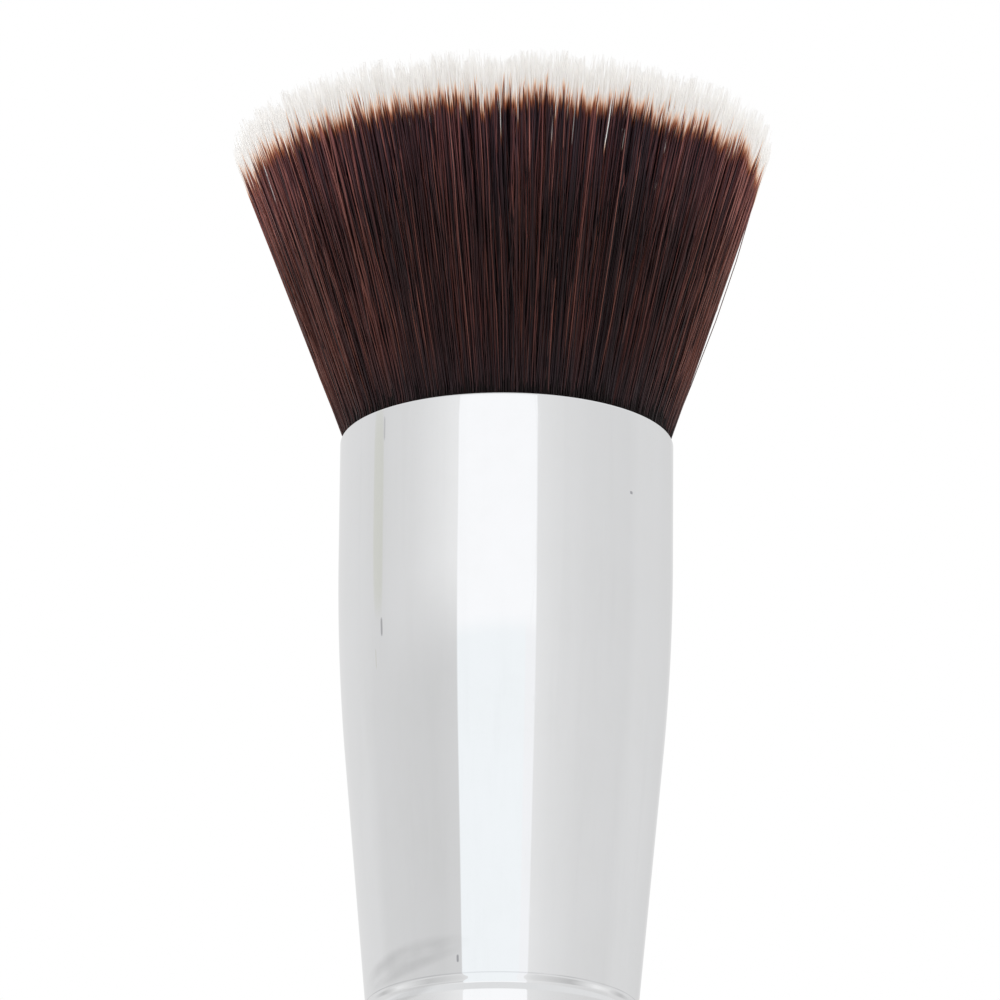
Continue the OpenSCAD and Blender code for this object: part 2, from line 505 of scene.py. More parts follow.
class RoundAxis(Effect):
    """Turns a place into its direction round the Z axis, from -Y, and its height."""

    name = "round the axis"
    inputs = ("Vector",)
    outputs = ("Turn", "Height")

    @classmethod
    def draw(cls, sheet: NodeSheet, *given: Socket) -> tuple[Socket, ...]:
        """The turn is the arc tangent of X over minus Y, in degrees, and the height is Z in millimetres."""
        x, y, z = sheet.add("ShaderNodeSeparateXYZ", *given).outputs
        turn = sheet.maths("ARCTAN2", x, sheet.maths("MULTIPLY", y, -1.0))
        return sheet.maths("DEGREES", turn), sheet.maths("DIVIDE", z, MM)


class Spot(Effect):
    """A soft oval spot on a round piece."""

    name = "soft spot"
    inputs = ("Turn", "Height", "Middle Turn", "Middle Height", "Half Turn", "Half Height", "Power")

    @classmethod
    def draw(cls, sheet: NodeSheet, *given: Socket) -> tuple[Socket, ...]:
        """Falls from 1 inside to 0 where the powers of the shares of the half sizes add up to 1."""
        power = given[-1]
        powers = []
        for at, middle, half in zip(given[0:2], given[2:4], given[4:6]):
            share = sheet.maths("DIVIDE", sheet.apart(at, middle), half)
            powers.append(sheet.maths("POWER", share, power))
        return (sheet.step(sheet.maths("ADD", *powers), 1.0, 0.1),)


class RingWear(Effect):
    """Wear round an edge at a height: a soft band that a noise breaks up. Sizes are in millimetres."""

    name = "ring wear"
    inputs = ("Vector", "Height", "Width", "Scale")
    strength = 1.6
    steepness = 3.0

    @classmethod
    def draw(cls, sheet: NodeSheet, *given: Socket) -> tuple[Socket, ...]:
        """Takes a noise from a band that is 1 at the height and falls to 0 a width away."""
        vector, height, width, scale = given
        off = sheet.apart(RoundAxis.place(sheet, Vector=vector).outputs["Height"], height)
        near = sheet.maths("SUBTRACT", 1.0, sheet.maths("DIVIDE", off, width), clamp=True)
        rough = sheet.noise(vector, scale, 4.0, 0.65)
        worn = sheet.maths("SUBTRACT", sheet.maths("MULTIPLY", near, cls.strength), rough)
        return (sheet.maths("MULTIPLY", worn, cls.steepness, clamp=True),)


# Finishes


@dataclass(frozen=True)
class Finish:
    """A material with one shader, whose patterns read the piece's own coordinates."""

    name: str = "finish"

    def material(self) -> Material:
        """Makes or finds the material.

        Returns:
            The material.
        """
        made = bpy.data.materials.get(self.name)
        if made is None:
            made = bpy.data.materials.new(self.name)
            sheet = NodeSheet.emptied(made)
            shader = sheet.add("ShaderNodeBsdfPrincipled")
            sheet.add("ShaderNodeOutputMaterial", shader.outputs[0])
            self.paint(sheet, shader)
        return made

    def paint(self, sheet: NodeSheet, shader: Node) -> None:
        """Sets up the Principled shader on the material's sheet."""
        raise NotImplementedError


@dataclass(frozen=True)
class Mark:
    """One small blemish in the ferrule's polish.

    Attributes:
        turn: Its middle's direction round the axis from -Y, in degrees.
        height: Its middle's height, in millimetres.
        half_turn: Half its width, in degrees.
        half_height: Half its height, in millimetres.
        tint: What the metal's colour is multiplied by.
        cloudy: True if its edge is soft and a noise breaks it up.
        slant: How much it climbs for each degree, in millimetres.
    """

    turn: float
    height: float
    half_turn: float
    half_height: float
    tint: Colour
    cloudy: bool = False
    slant: float = 0.0

    def mask(self, sheet: NodeSheet, turn: Socket, height: Socket) -> Socket:
        """How much the mark covers a place, given the place's turn and height."""
        level = sheet.maths("MULTIPLY_ADD", turn, -self.slant, height)
        return Spot.mask(
            sheet, Turn=turn, Height=level, Middle_Turn=self.turn,
            Middle_Height=self.height - self.slant * self.turn, Half_Turn=self.half_turn,
            Half_Height=self.half_height, Power=2.0 if self.cloudy else 4.0,
        )


@dataclass(frozen=True)
class PolishedMetal(Finish):
    """Mirror-bright plated metal with marks, scratches and smudges. Heights are in millimetres."""

    name: str = "polished ferrule metal"
    colour: Colour = (0.905, 0.91, 0.92)
    shine: float = 0.02
    marks: tuple[Mark, ...] = (
        Mark(-49.2, 86.5, 2.9, 8.6, (0.925, 0.93, 0.87)),
        Mark(-46.5, 92.4, 0.45, 1.0, (0.78, 0.78, 0.79)),
        Mark(-47.6, 77.7, 0.55, 0.75, (0.6, 0.6, 0.61)),
        Mark(-51.0, 75.5, 0.3, 0.8, (0.9, 0.89, 0.84)),
        Mark(-47.0, 53.5, 36.0, 1.3, (0.76, 0.76, 0.76), cloudy=True, slant=0.024),
        Mark(-44.0, 51.1, 17.0, 0.5, (0.82, 0.82, 0.82), cloudy=True, slant=0.02),
        Mark(-18.6, 53.15, 0.55, 0.3, (0.55, 0.55, 0.57)),
        Mark(47.7, 87.8, 0.75, 0.13, (0.55, 0.55, 0.57)),
    )
    cloud_turn: float = 0.06
    cloud_slant: float = -0.03
    cloud_scale: float = 0.7
    # Painted shade: a thin dark line at the upper edge of each crimp, at these heights in millimetres.
    painted_shade_lines: tuple[float, ...] = ()
    painted_shade_half: float = 0.07
    painted_shade_tint: Colour = (0.72, 0.72, 0.73)
    smudge_tint: Colour = (0.975, 0.975, 0.97)
    streak_tint: Colour = (0.985, 0.985, 0.985)
    wave_height: float = 0.004 * MM

    def clouds(self, sheet: NodeSheet, turn: Socket, height: Socket) -> Socket:
        """A soft noise that runs aslant round the piece.

        Args:
            sheet: The material's sheet.
            turn: The place's direction round the axis, in degrees.
            height: Its height.

        Returns:
            The noise, from 0 to 1.
        """
        across = sheet.maths("MULTIPLY", turn, self.cloud_turn)
        climbing = sheet.maths("MULTIPLY_ADD", turn, self.cloud_slant, height)
        slanted = sheet.add("ShaderNodeCombineXYZ", across, climbing).outputs[0]
        return sheet.step(sheet.noise(slanted, self.cloud_scale, 2.0, 0.45), 0.1, 0.8)

    def marked_and_shaded(self, sheet: NodeSheet, place: Socket) -> tuple[Source, Source]:
        """Tints the metal in its marks, and with painted shade lines at its crimps.

        Args:
            sheet: The material's sheet.
            place: The place on the piece.

        Returns:
            The colour, and how much a mark covers the place.
        """
        turn, height = RoundAxis.place(sheet, Vector=place).outputs
        cloud = self.clouds(sheet, turn, height)
        colour: Source = self.colour
        covered: Source = 0.0
        # Painted shade lines at the upper edges of the crimps.
        for painted_shade_line in self.painted_shade_lines:
            near = sheet.step(sheet.apart(height, painted_shade_line), self.painted_shade_half, 0.0)
            mask = sheet.maths("MULTIPLY", near, cloud)
            colour = sheet.mixed(mask, colour, self.painted_shade_tint, Blend.MULTIPLY)
        for mark in self.marks:
            mask = mark.mask(sheet, turn, height)
            if mark.cloudy:
                mask = sheet.maths("MULTIPLY", mask, cloud)
            colour = sheet.mixed(mask, colour, mark.tint, Blend.MULTIPLY)
            covered = sheet.maths("MAXIMUM", covered, mask)
        return colour, covered

    def paint(self, sheet: NodeSheet, shader: Node) -> None:
        """Tints the metal in its marks, smudges and streaks, darkens it with painted shade lines at its
        crimps, and roughens it a little there.
        """
        place = sheet.own_place()
        colour, covered = self.marked_and_shaded(sheet, place)
        smudge = Smudges.mask(sheet, Vector=place, Scale=110.0, Cover=0.85)
        upright = sheet.stretched(place, (1.0, 1.0, 0.05))
        scratch = Scratches.mask(sheet, Vector=upright, Scale=420.0, Cover=0.42)
        streaks = sheet.noise(sheet.stretched(place, (1.0, 1.0, 0.02)), 900.0, 3.0, 0.6)
        waves = sheet.noise(sheet.stretched(place, (1.0, 1.0, 0.22)), 260.0, 1.0, 0.4)
        colour = sheet.mixed(smudge, colour, self.smudge_tint, Blend.MULTIPLY)
        colour = sheet.mixed(sheet.step(streaks, 0.45, 0.75), colour, self.streak_tint, Blend.MULTIPLY)
        sheet.wire(
            shader, Base_Color=colour, Metallic=1.0,
            Roughness=sheet.summed(self.shine, (smudge, 0.03), (covered, 0.05), (scratch, 0.08)),
            Normal=sheet.bumped(waves, self.wave_height, 0.5),
        )


@dataclass(frozen=True)
class DipDyedFibre(Finish):
    """Clear synthetic fibre, dyed dark brown up to a ragged line below its tips.

    The strands' map holds a strand's tone across and its height along, measured from its own dye line.

    Attributes:
        line: Where along the map the dye ends.
        span: What the whole map is along a strand, in millimetres.
        fade: Unit of the dye's end, in millimetres.
        rusty, tanned, cleared: Where those colours start and are full, in units past the line.
        mouth: Where along the map the ferrule's mouth is.
        shaded: How far above the mouth the shade reaches.
        rim: Where above the mouth the rim's own shade starts and is full.
        tones: The dye's colours by tone.
        thinning: How far below the line the dye thins, in millimetres.
        thinned: What the thinned dye's colour is multiplied by.
    """

    name: str = "dip-dyed fibre"
    line: float = 0.75
    span: float = 36.0
    fade: float = 0.7
    rusty: tuple[float, float] = (-1.3, -0.1)
    tanned: tuple[float, float] = (-0.5, 0.5)
    cleared: tuple[float, float] = (-0.1, 1.2)
    mouth: float = 0.205
    shaded: float = 0.15
    shade_share: float = 0.7
    rim: tuple[float, float] = (0.012, 0.004)
    rim_share: float = 0.3
    tones: tuple[tuple[float, Colour], ...] = (
        (0.0, (0.012, 0.009, 0.013)),
        (0.3, (0.03, 0.0165, 0.021)),
        (0.55, (0.062, 0.025, 0.027)),
        (0.8, (0.15, 0.047, 0.042)),
        (1.0, (0.32, 0.12, 0.09)),
    )
    # Uneven dye and painted highlights: a noise along each strand makes some stretches of it lighter than
    # others.
    mottle_and_highlight_scale: Colour = (900.0, 16.0, 1.0)
    mottle_and_highlight_share: float = 0.85
    thinning: float = 9.0
    thinned: Colour = (1.95, 2.0, 2.25)
    shade: Colour = (0.027, 0.0175, 0.0225)
    rust: Colour = (0.46, 0.135, 0.055)
    tan: Colour = (0.82, 0.54, 0.37)
    clear: Colour = (0.87, 0.855, 0.835)
    # Painted light: how strongly the tan and clear parts give off light, for the light let through the
    # clear fibre.
    painted_glow: float = 0.215
    dyed_shine: float = 0.4
    clear_shine: float = 0.32
    specular: float = 0.28
    sheen: Colour = (1.0, 0.84, 0.78)

    def dyed(self, sheet: NodeSheet, tone: Socket, along: Socket, mottle_and_highlights: Socket) -> Socket:
        """The dye's colour: mottled by uneven dye and painted highlights along the strand, thinner towards
        the line, and darkened near the mouth by painted shade.

        Args:
            sheet: The material's sheet.
            tone: The strand's tone.
            along: The place along the map.
            mottle_and_highlights: A fine noise along the strand.

        Returns:
            The colour.
        """
        mottle_and_highlight_patches = sheet.ramp(mottle_and_highlights, {0.34: 0.2, 0.66: 1.0})
        dyed = sheet.mixed(self.mottle_and_highlight_share, sheet.ramp(tone, dict(self.tones)), mottle_and_highlight_patches, Blend.MULTIPLY)
        thin = sheet.step(along, self.line - self.thinning / self.span, self.line)
        dyed = sheet.mixed(thin, dyed, self.thinned, Blend.MULTIPLY)
        near = sheet.step(along, self.mouth + self.shaded, self.mouth)
        dyed = sheet.mixed(sheet.maths("MULTIPLY", near, self.shade_share), dyed, self.shade)
        rim = sheet.step(along, *(self.mouth + place for place in self.rim))
        return sheet.mixed(rim, dyed, tuple(c * self.rim_share for c in self.shade))

    def paint(self, sheet: NodeSheet, shader: Node) -> None:
        """Runs the colours from the dye through rust and tan to clear along each strand. The tan and clear
        parts give off painted light, an emission that stands in for the light which the clear fibre lets
        through.
        """
        own = sheet.add("ShaderNodeUVMap", uv_map=STRAND_MAP).outputs[0]
        tone, along, _ = sheet.add("ShaderNodeSeparateXYZ", own).outputs
        mottle_and_highlights = sheet.noise(sheet.stretched(own, self.mottle_and_highlight_scale), 1.0, 2.0, 0.55)
        unit = self.fade / self.span
        rusty, tanned, cleared = (
            sheet.step(along, *(self.line + end * unit for end in ends))
            for ends in (self.rusty, self.tanned, self.cleared)
        )
        colour = sheet.mixed(rusty, self.dyed(sheet, tone, along, mottle_and_highlights), self.rust)
        colour = sheet.mixed(tanned, colour, self.tan)
        # Painted light: the emission is tan where the fibre is tanned, and clear further up.
        painted_glow_colour = sheet.mixed(tanned, (0.0, 0.0, 0.0), self.tan)
        less_dull = self.clear_shine - self.dyed_shine
        sheet.wire(
            shader, Base_Color=sheet.mixed(cleared, colour, self.clear),
            Emission_Color=sheet.mixed(cleared, painted_glow_colour, self.clear), Emission_Strength=self.painted_glow,
            Roughness=sheet.summed(self.dyed_shine, (cleared, less_dull), (mottle_and_highlights, 0.12)),
            Specular_IOR_Level=self.specular, Specular_Tint=self.sheen,
        )


@dataclass(frozen=True)
class Lacquer(Finish):
    """Black gloss lacquer on turned wood, with fine dust, faint scratches and worn edges."""

    name: str = "black lacquer"
    colour: Colour = (0.010, 0.010, 0.012)
    worn: Colour = (0.055, 0.05, 0.045)
    dusty: Colour = (0.2, 0.19, 0.18)
    foot_height: float = 0.0
    shoulder_height: float = 42.0
    peel_height: float = 0.004 * MM

    def paint(self, sheet: NodeSheet, shader: Node) -> None:
        """Dulls and lightens the lacquer where it is worn, and specks it with dust."""
        place = sheet.own_place()
        foot, shoulder = (
            RingWear.mask(sheet, Vector=place, Height=height, Width=width, Scale=900.0)
            for height, width in ((self.foot_height, 0.7), (self.shoulder_height, 0.3))
        )
        wear = sheet.maths("ADD", foot, sheet.maths("MULTIPLY", shoulder, 0.5), clamp=True)
        dust = Dust.mask(sheet, Vector=place, Scale=1300.0, Cover=0.06)
        smudge = Smudges.mask(sheet, Vector=place, Scale=95.0, Cover=0.9)
        around = sheet.stretched(place, (0.25, 0.25, 1.0))
        scratch = Scratches.mask(sheet, Vector=around, Scale=300.0, Cover=0.5)
        colour = sheet.mixed(wear, self.colour, self.worn)
        sheet.wire(
            shader, Base_Color=sheet.mixed(sheet.maths("MULTIPLY", dust, 0.3), colour, self.dusty),
            Roughness=sheet.summed(0.06, (smudge, 0.1), (scratch, 0.16), (wear, 0.3)), IOR=1.52,
            Normal=sheet.bumped(sheet.noise(place, 900.0), self.peel_height, 0.35),
        )


@dataclass(frozen=True)
class MouldedPlastic(Finish):
    """Matt black moulded plastic with a fine spark texture and rubbed dust."""

    name: str = "moulded cap plastic"
    colour: Colour = (0.022, 0.022, 0.024)
    rubbed: Colour = (0.06, 0.058, 0.055)
    grain_height: float = 0.03 * MM

    def paint(self, sheet: NodeSheet, shader: Node) -> None:
        """Grains the plastic and lightens it where it is rubbed."""
        place = sheet.own_place()
        rubbed = Smudges.mask(sheet, Vector=place, Scale=160.0, Cover=1.0)
        grain = sheet.noise(place, 5200.0, 3.0, 0.6)
        sheet.wire(
            shader, Base_Color=sheet.mixed(rubbed, self.colour, self.rubbed),
            Roughness=sheet.summed(0.46, (rubbed, 0.2)),
            Normal=sheet.bumped(grain, self.grain_height, 0.6),
        )


@dataclass(frozen=True)
class SetGlue(Finish):
    """Set glue that holds hundreds of fine filament ends."""

    name: str = "set glue"
    colour: Colour = (0.62, 0.45, 0.24)
    milkier: float = 1.25
    ends: Colour = (0.06, 0.024, 0.018)
    ends_cover: float = 0.5
    ends_height: float = 0.02 * MM
    shine: float = 0.28

    def paint(self, sheet: NodeSheet, shader: Node) -> None:
        """Sets upright dark filaments into cloudy glue."""
        place = sheet.own_place()
        cells = sheet.cells(sheet.stretched(place, (1.0, 1.0, 0.03)), 6000.0)
        fibre = sheet.step(cells.outputs["Distance"], 0.5, 0.3)
        cloud = sheet.noise(place, 380.0, 3.0, 0.6)
        milky = tuple(min(1.0, c * self.milkier) for c in self.colour)
        shown = sheet.maths("MULTIPLY", fibre, self.ends_cover)
        sheet.wire(
            shader, Base_Color=sheet.mixed(shown, sheet.mixed(cloud, self.colour, milky), self.ends),
            Roughness=sheet.summed(self.shine, (cloud, 0.2)),
            Normal=sheet.bumped(fibre, self.ends_height, 0.5),
        )


@dataclass(frozen=True)
class SpunThread(Finish):
    """Spun cotton thread, with a fine twist that climbs round it."""

    name: str = "spun thread"
    colour: Colour = (0.76, 0.71, 0.61)
    hollow_shade_share: float = 0.62
    twist_height: float = 0.03 * MM

    def paint(self, sheet: NodeSheet, shader: Node) -> None:
        """Paints shade into the hollows of the twist, a sine of the turn and the height, and fuzzes the
        surface.
        """
        place = sheet.own_place()
        turn, height = RoundAxis.place(sheet, Vector=place).outputs
        slanted = sheet.summed(0.0, (turn, 1.4), (height, 40.0))
        twist = sheet.maths("MULTIPLY_ADD", sheet.maths("SINE", slanted), 0.5, 0.5)
        fuzz = sheet.noise(place, 9000.0, 3.0, 0.7)
        # Painted shade in the hollows of the twist.
        colour = sheet.mixed(twist, tuple(c * self.hollow_shade_share for c in self.colour), self.colour)
        sheet.wire(
            shader, Base_Color=sheet.mixed(0.3, colour, fuzz, Blend.MULTIPLY),
            Roughness=sheet.summed(0.7, (fuzz, 0.2)),
            Normal=sheet.bumped(sheet.maths("ADD", twist, fuzz), self.twist_height, 0.7),
        )


@dataclass(frozen=True)
class TurnedSteel(Finish):
    """Turned steel with fine tool marks round it and oily smudges."""

    name: str = "turned steel"
    colour: Colour = (0.50, 0.505, 0.51)
    oily: Colour = (0.33, 0.31, 0.29)
    mark_height: float = 0.01 * MM

    def paint(self, sheet: NodeSheet, shader: Node) -> None:
        """Rings the steel with tool marks and clouds its shine."""
        place = sheet.own_place()
        marks = sheet.noise(sheet.stretched(place, (0.02, 0.02, 1.0)), 9000.0, 2.0, 0.6)
        smudge = Smudges.mask(sheet, Vector=place, Scale=180.0, Cover=1.0)
        sheet.wire(
            shader, Base_Color=sheet.mixed(smudge, self.colour, self.oily), Metallic=1.0,
            Roughness=sheet.summed(0.24, (marks, 0.15), (smudge, 0.2)),
            Normal=sheet.bumped(marks, self.mark_height, 0.6),
        )


# Sub-assemblies


@dataclass
class Ferrule:
    """The thin metal tube: a straight barrel, a parabola, a straight taper, and a skirt with two crimps."""

    around: int = 200
    barrel_rings: int = 7
    taper_rings: int = 46
    crimp_rings: int = 84
    rim_steps: int = 14
    mouth_r: float = 12.0 * MM
    wall: float = 0.4 * MM
    barrel_len: float = 9.0 * MM
    blend_len: float = 14.5 * MM
    upper_crimp: float = 42.5 * MM
    skirt_r: float = 9.6 * MM
    crimp_pitch: float = 4.8 * MM
    crimp_w: float = 1.2 * MM
    crimp_depth: float = 0.2 * MM
    fine_above: float = 1.4 * MM
    mouth_z: float = field(init=False)
    length: float = field(init=False)

    def __post_init__(self) -> None:
        """Reads the tube's place from the frame."""
        low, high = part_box("ferrule")
        self.mouth_z = high.z
        self.length = high.z - low.z

    def plain_radius(self, depth: Array) -> Array:
        """Outside radius without the crimps.

        It is the mouth's radius down the barrel, then falls as the square of the way past the barrel, then
        falls evenly to the skirt's radius at the upper crimp, and stays.

        Args:
            depth: Depths below the mouth.

        Returns:
            The radii.
        """
        slope = (self.mouth_r - self.skirt_r) / (self.upper_crimp - self.barrel_len - self.blend_len / 2)
        past = np.clip(depth - self.barrel_len, 0, self.blend_len)
        blended = self.mouth_r - slope * past**2 / (2 * self.blend_len)
        straight = self.skirt_r + slope * np.clip(self.upper_crimp - depth, 0, None)
        return np.where(depth < self.barrel_len + self.blend_len, blended, straight)

    def radius(self, depth: Array) -> Array:
        """Outside radius with the crimps, each of which is one wave of a cosine, deepest at its middle.

        Args:
            depth: Depths below the mouth.

        Returns:
            The radii.
        """
        radii = self.plain_radius(depth)
        for middle in (self.upper_crimp, self.upper_crimp + self.crimp_pitch):
            off = np.clip((depth - middle) / self.crimp_w, -0.5, 0.5)
            radii = radii - self.crimp_depth * (1 + np.cos(2 * np.pi * off)) / 2
        return radii

    def outline(self) -> Outline:
        """Radii and heights of the wall: up the outside, over the rim, down the inside and under the edge.

        The rim and the lower edge are half circles across the wall.

        Returns:
            The radii and the heights of a closed outline.
        """
        rim = self.wall / 2
        fine_from = self.upper_crimp - self.fine_above
        depth = np.concatenate([
            np.linspace(rim, self.barrel_len, self.barrel_rings),
            np.linspace(self.barrel_len, fine_from, self.taper_rings)[1:-1],
            np.linspace(fine_from, self.length - rim, self.crimp_rings),
        ])
        outside = self.radius(depth)
        top, bottom = outside[[0, -1]] - rim
        arc = np.linspace(0, np.pi, self.rim_steps)[1:-1]
        across, over = rim * np.cos(arc), rim * np.sin(arc)
        radii = np.concatenate([outside[::-1], top + across, outside - self.wall, bottom - across])
        below = np.concatenate([depth[::-1], rim - over, depth, self.length - rim + over])
        return radii, self.mouth_z - below

    def build(self) -> None:
        """Makes the tube and dresses it, with a painted shade line at the upper edge of each crimp."""
        mesh = turned("ferrule_shell", self.outline(), self.around, ring=True)
        painted_shade_line = self.mouth_z - self.upper_crimp + self.crimp_w / 2
        finish = PolishedMetal(painted_shade_lines=(painted_shade_line / MM, (painted_shade_line - self.crimp_pitch) / MM))
        add_piece(mesh, finish.material(), Slot.METAL, "ferrule")


@dataclass(frozen=True)
class StrandShape:
    """How the strands of one part of the head are drawn.

    Attributes:
        heights: Where a strand has rings, as shares of its length above the mouth, and above 0.
        points: Distances of the last rings below the tip.
        sectors: Number of pieces that the strands are split into, round the axis.
    """

    heights: tuple[float, ...]
    points: tuple[float, ...]
    sectors: int


class Depth(Enum):
    """Where in the head a strand stands, which sets how finely it is drawn."""

    OUTER = StrandShape((0.03, 0.24, 0.46, 0.66), (3.4 * MM, 1.1 * MM, 0.0), 6)
    INNER = StrandShape((0.4,), (2.4 * MM, 0.0), 4)


@dataclass(frozen=True)
class Tuft:
    """Strands that gather round a line of their own.

    Attributes:
        cell: Width of the cell of roots that gathers.
        even: Pull towards the line that grows evenly along the strand, as a share of the distance.
        late: Pull that grows as a power of the way along the strand.
        power: That power.
        slope: Typical slope of the line's own lean.
    """

    cell: float
    even: float
    late: float
    power: int
    slope: float


@dataclass
class Strands:
    """Strands of the head. Every array has one row for each strand.

    Attributes:
        roots: Places in the glue, n by 2.
        middles: Roots of the gathering lines of its wisp and its clump, n by 2 by 2.
        drawn: Four random numbers of its wisp and of its clump, n by 2 by 4.
        length: Lengths above the mouth.
        dye_z: Heights where the dye ends.
        stray: True where the strand bows away from the head.
        tone: How light and red the dye is, from 0 to 1, with painted light at the head's sides.
        size: Radii in the glue.
        roll: Turns of the corners.
    """

    roots: Array
    middles: Array
    drawn: Array
    length: Array
    dye_z: Array
    stray: Array
    tone: Array
    size: Array
    roll: Array

    def picked(self, rows: Array) -> "Strands":
        """Some of the strands."""
        return Strands(*(getattr(self, part.name)[rows] for part in fields(self)))


@dataclass
class BristleHead:
    """The tuft: some forty thousand tapered filaments that stand in glue and spread to a flat top."""

    # How many strands there are, and where they stand
    count: int = 42000
    seed: int = 12
    edge_r: float = 11.5 * MM
    outer_from: float = 9.4 * MM
    edge_gap: float = 0.3
    root_shift: float = 0.45
    warp: float = 0.3
    warp_pitch: float = 1.7
    warp_phase: tuple[float, float] = (0.4, 1.9)
    scatter: float = 0.18
    scatter_ends: tuple[float, float] = (-1.5, 1.5)
    grid: int = 101
    # How thick they are
    strand_r: float = 0.046 * MM
    strand_sizes: tuple[float, float] = (0.7, 1.35)
    deep_size: float = 0.7
    stray_size: float = 0.8
    tip_share: float = 0.3
    point_len: float = 1.7 * MM
    # How their lines spread, bend and stray
    spread: float = 30.9
    bend_at: float = 0.25 * MM
    bend_len: float = 0.6 * MM
    bend_ring: float = -0.9 * MM
    wisp: Tuft = Tuft(cell=0.4 * MM, even=0.03, late=0.8, power=9, slope=0.008)
    clump: Tuft = Tuft(cell=0.9 * MM, even=0.0, late=0.12, power=2, slope=0.009)
    slope: float = 0.0085
    wild_share: float = 0.25
    wild_slopes: tuple[float, float] = (4.4, 1.8)
    held_share: float = 0.5
    held_slope: float = 0.25
    tip_hold: float = 0.25
    wave: float = 0.15 * MM
    wave_turns: tuple[float, float] = (0.6, 2.0)
    wave_from: float = 3.0 * MM
    wave_calm: float = 0.8
    edge_ragged: float = 0.16 * MM
    stray_from: float = 0.985
    stray_share: float = 0.012
    stray_tone: float = 0.97
    stray_bow: tuple[float, float] = (0.25 * MM, 0.75 * MM)
    stray_bend: tuple[float, float] = (0.8, 1.8)
    lean: float = -0.6 * MM
    lean_power: float = 1.2
    # How the head is cut
    cut_slope: float = 0.018
    ragged: tuple[float, ...] = (0.17 * MM, 0.29 * MM, 0.14 * MM)
    ragged_ends: tuple[float, float] = (-0.45 * MM, 0.9 * MM)
    # Where the dye ends
    dye_drop: float = 2.12 * MM
    dye_cone: float = 0.8 * MM
    cone_ends: tuple[float, float] = (0, 1.3)
    dye_ragged: tuple[float, ...] = (0.22 * MM, 0.2 * MM, 0.1 * MM)
    dye_ends: tuple[float, float] = (1.0 * MM, 8.0 * MM)
    deep_share: float = 0.018
    deep_mean: float = 1.4 * MM
    deep_least: float = 0.8 * MM
    high_share: float = 0.07
    high_rise: tuple[float, float] = (0.2 * MM, 0.9 * MM)
    # How light the dye is
    mean_tone: float = 0.465
    tone_spread: float = 0.23
    tuft_tones: tuple[float, float] = (0.04, 0.025)
    # Painted light: how much lighter and redder the dye is at the head's left and right sides
    left_painted_light: float = 0.34
    right_painted_light: float = 0.42
    bright_share: float = 0.07
    bright_tones: tuple[float, float] = (0.85, 1.0)
    tone_ends: tuple[float, float] = (0.02, 0.98)
    # How narrow a tone's band is on the map, and where the corners of an end lie on it
    map_width: float = 0.012
    cap_across: tuple[float, ...] = (-0.4, 0.4, 0.0)
    cap_along: tuple[float, ...] = (-0.001, -0.001, 0.001)
    # The slice of glue, and how far the strands reach into it
    glue_thick: float = 1.5 * MM
    glue_r: float = 11.58 * MM
    glue_bevel: float = 0.1 * MM
    glue_around: int = 128
    sunk: float = 0.05 * MM
    mouth_z: float = field(init=False)
    tip_z: float = field(init=False)
    glue_z: float = field(init=False)

    def __post_init__(self) -> None:
        """Reads the head's place from the frame."""
        low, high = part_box("bristles")
        self.tip_z = high.z
        self.glue_z = low.z + self.glue_thick
        self.mouth_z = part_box("ferrule")[1].z

    def opened(self, roots: Array, above: Array) -> Array:
        """Where upright lines from the glue go as the head spreads.

        A line keeps its direction and moves out in proportion to its root's distance from the axis. The
        share grows as the mean of the height over the bend and its length along a hyperbola, so that a
        line is upright in the ferrule, bends at the mouth and is straight above.

        Args:
            roots: Places in the glue, n by 2.
            above: Heights above the mouth, n by m.

        Returns:
            Places at those heights, n by m by 2.
        """
        past = above + self.bend_at
        way = (past + np.sqrt(past**2 + self.bend_len**2)) / 2
        return roots[:, None, :] * (1 + self.spread * way)[..., None]

    def roots(self, rng: Random) -> Array:
        """Places of the strands in the glue.

        The k-th of n lies at the square root of k over n of the full radius and a golden turn on from the
        one before, and is then moved a little at random.

        Args:
            rng: The source of random numbers.

        Returns:
            The places, n by 2.
        """
        k = np.arange(self.count) + 0.5
        gap = self.edge_r * math.sqrt(math.pi / self.count)
        out = (self.edge_r - self.edge_gap * gap) * np.sqrt(k / self.count)
        at = np.stack([out * np.cos(k * GOLDEN_TURN), out * np.sin(k * GOLDEN_TURN)], 1)
        at += rng.uniform(-self.root_shift, self.root_shift, at.shape) * gap
        far = np.linalg.norm(at, axis=1)
        return at * np.minimum(1, self.edge_r / far)[:, None]

    def gathered(self, roots: Array, size: float, rng: Random) -> tuple[Array, Array]:
        """Gathers strands whose roots share a cell of a grid, which two sines warp.

        Args:
            roots: Places in the glue, n by 2.
            size: Width of a cell.
            rng: The source of random numbers.

        Returns:
            The root of each strand's gathering line, n by 2, and its four random numbers, n by 4.
        """
        warp = self.warp * np.sin(roots[:, ::-1] / size * self.warp_pitch + self.warp_phase)
        cell = np.floor(roots / size + warp).astype(int)
        key = (cell[:, 0] % self.grid) * self.grid + cell[:, 1] % self.grid
        drawn = rng.standard_normal((self.grid**2, 4))[key]
        moved = self.scatter * drawn[:, :2].clip(*self.scatter_ends)
        return (cell + 0.5 - warp + moved) * size, drawn

    def tones(self, roots: Array, drawn: Array, rng: Random) -> Array:
        """How light and red each strand's dye is.

        The dye is painted lighter and redder towards the left, by the square of the way, and at the very
        right, by its sixth power. This is painted light, for the light that shines through the fibres at
        the head's sides.

        Args:
            roots: Places in the glue, n by 2.
            drawn: The random numbers of the wisps and the clumps, n by 2 by 4.
            rng: The source of random numbers.

        Returns:
            The tones, from 0 to 1.
        """
        n = len(roots)
        side = roots[:, 0] / self.edge_r
